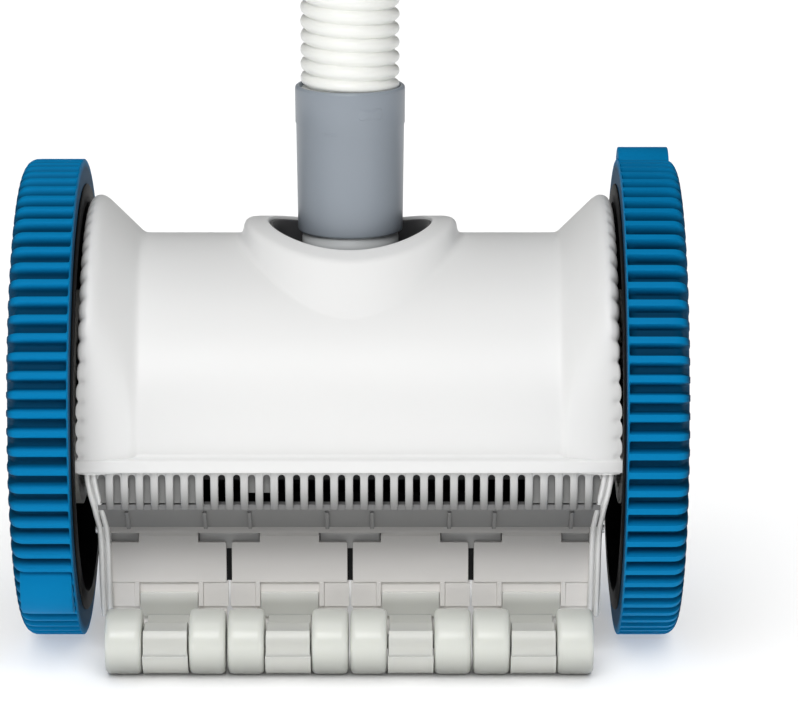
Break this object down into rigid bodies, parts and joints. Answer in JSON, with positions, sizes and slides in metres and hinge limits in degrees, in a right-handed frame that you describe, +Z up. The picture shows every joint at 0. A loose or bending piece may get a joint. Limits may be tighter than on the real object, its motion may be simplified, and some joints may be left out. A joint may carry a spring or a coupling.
{
  "type": "pool cleaner",
  "caption": "Two-wheel suction pool cleaner: flared barrel body, ribbed tyres, slatted front, hinged wings with rollers, and a swivel neck with a hose.",
  "frame": {"origin": "on the floor, straight below the middle of the wheel axis", "axes": "+X along the wheel axis, -Y the front with the wings and rollers, +Z up"},
  "size_m": [0.314, 0.5252, 0.5456],
  "materials": {
    "shell_white": "glossy white moulded plastic",
    "panel_grey": "grey moulded plastic",
    "inner_black": "black moulded plastic",
    "seal_rubber": "soft black rubber",
    "liner_grey": "dark grey moulded plastic",
    "steel": "stainless steel",
    "acetal": "natural acetal",
    "wing_plastic": "warm light grey moulded plastic",
    "roller_plastic": "natural white moulded plastic",
    "tyre_blue": "blue moulded rubber",
    "hub_black": "black moulded plastic",
    "neck_grey": "light grey moulded plastic",
    "cuff_grey": "satin grey moulded plastic",
    "hose_white": "white moulded plastic"
  },
  "bodies": {
    "body": {"upper_shell": "shell_white", "side_plate_left": "shell_white", "side_plate_right": "shell_white", "front_grille": "shell_white", "intake_panel": "panel_grey", "deck_plate": "inner_black", "base_plate": "inner_black", "turbine_chamber": "inner_black", "chamber_ends": "inner_black", "intake_throat": "inner_black", "outlet_duct": "inner_black", "neck_seal": "seal_rubber", "neck_liner": "liner_grey", "stub_axles": "steel", "wheel_screws": "steel", "shaft_bushes": "acetal", "wing_rod": "steel", "rear_cover": "shell_white", "rear_rod": "steel", "cover_screws": "steel"},
    "wheel_left": {"tyre_left": "tyre_blue", "hub_left": "hub_black", "drive_ring_left": "acetal", "wheel_bush_left": "acetal", "hub_cap_left": "hub_black"},
    "wheel_right": {"tyre_right": "tyre_blue", "hub_right": "hub_black", "drive_ring_right": "acetal", "wheel_bush_right": "acetal", "hub_cap_right": "hub_black"},
    "turbine": {"turbine_shaft": "steel", "turbine_rotor": "acetal", "turbine_vanes": "wing_plastic", "turbine_pinion": "acetal"},
    "counter_left": {"counter_shaft_left": "steel", "counter_gear_left": "acetal", "drive_pinion_left": "acetal"},
    "counter_right": {"counter_shaft_right": "steel", "counter_gear_right": "acetal", "drive_pinion_right": "acetal"},
    "clutch": {"clutch_pinion": "acetal"},
    "neck": {"neck_tube": "neck_grey", "hose_cuff": "cuff_grey", "hose": "hose_white", "hose_end_cuff": "cuff_grey"},
    "tail": {"rear_flap": "wing_plastic"},
    "wing1": {"wing_1": "wing_plastic", "roller_bracket_1": "roller_plastic"},
    "roller_pair1": {"rollers_1": "roller_plastic"},
    "wing2": {"wing_2": "wing_plastic", "roller_bracket_2": "roller_plastic"},
    "roller_pair2": {"rollers_2": "roller_plastic"},
    "wing3": {"wing_3": "wing_plastic", "roller_bracket_3": "roller_plastic"},
    "roller_pair3": {"rollers_3": "roller_plastic"},
    "wing4": {"wing_4": "wing_plastic", "roller_bracket_4": "roller_plastic"},
    "roller_pair4": {"rollers_4": "roller_plastic"}
  },
  "joints": [
    {"name": "wheel_left_spin", "type": "hinge", "parent": "body", "child": "wheel_left", "pos_m": [-0.14, 0, 0.115], "axis": [1, 0, 0], "continuous": true},
    {"name": "wheel_right_spin", "type": "hinge", "parent": "body", "child": "wheel_right", "pos_m": [0.14, 0, 0.115], "axis": [1, 0, 0], "continuous": true},
    {"name": "turbine_spin", "type": "hinge", "parent": "body", "child": "turbine", "pos_m": [0, 0, 0.115], "axis": [1, 0, 0], "continuous": true},
    {"name": "counter_left_spin", "type": "hinge", "parent": "body", "child": "counter_left", "pos_m": [-0.1, 0.02546, 0.14046], "axis": [1, 0, 0], "continuous": true},
    {"name": "counter_right_spin", "type": "hinge", "parent": "body", "child": "counter_right", "pos_m": [0.1, 0.02546, 0.14046], "axis": [1, 0, 0], "continuous": true},
    {"name": "clutch_spin", "type": "hinge", "parent": "body", "child": "clutch", "pos_m": [0.1, 0, 0.115], "axis": [1, 0, 0], "continuous": true},
    {"name": "neck_swivel", "type": "hinge", "parent": "body", "child": "neck", "pos_m": [0, 0, 0.18], "axis": [0, 0, 1], "continuous": true},
    {"name": "rear_flap_hinge", "type": "hinge", "parent": "body", "child": "tail", "pos_m": [0, 0.05, 0.058], "axis": [1, 0, 0], "range_deg": [0, 30]},
    {"name": "wing_1_hinge", "type": "hinge", "parent": "body", "child": "wing1", "pos_m": [-0.0864, -0.048, 0.062], "axis": [-1, 0, 0], "range_deg": [0, 30]},
    {"name": "rollers_1_spin", "type": "hinge", "parent": "wing1", "child": "roller_pair1", "pos_m": [-0.0864, -0.078, 0.0154], "axis": [1, 0, 0], "continuous": true},
    {"name": "wing_2_hinge", "type": "hinge", "parent": "body", "child": "wing2", "pos_m": [-0.0288, -0.048, 0.062], "axis": [-1, 0, 0], "range_deg": [0, 30]},
    {"name": "rollers_2_spin", "type": "hinge", "parent": "wing2", "child": "roller_pair2", "pos_m": [-0.0288, -0.078, 0.0154], "axis": [1, 0, 0], "continuous": true},
    {"name": "wing_3_hinge", "type": "hinge", "parent": "body", "child": "wing3", "pos_m": [0.0288, -0.048, 0.062], "axis": [-1, 0, 0], "range_deg": [0, 30]},
    {"name": "rollers_3_spin", "type": "hinge", "parent": "wing3", "child": "roller_pair3", "pos_m": [0.0288, -0.078, 0.0154], "axis": [1, 0, 0], "continuous": true},
    {"name": "wing_4_hinge", "type": "hinge", "parent": "body", "child": "wing4", "pos_m": [0.0864, -0.048, 0.062], "axis": [-1, 0, 0], "range_deg": [0, 30]},
    {"name": "rollers_4_spin", "type": "hinge", "parent": "wing4", "child": "roller_pair4", "pos_m": [0.0864, -0.078, 0.0154], "axis": [1, 0, 0], "continuous": true}
  ],
  "couplings": [
    {"joint": "counter_left_spin", "follows": "wheel_left_spin", "ratio": 5},
    {"joint": "turbine_spin", "follows": "wheel_left_spin", "ratio": -25},
    {"joint": "counter_right_spin", "follows": "wheel_right_spin", "ratio": 5},
    {"joint": "clutch_spin", "follows": "wheel_right_spin", "ratio": -25}
  ]
}
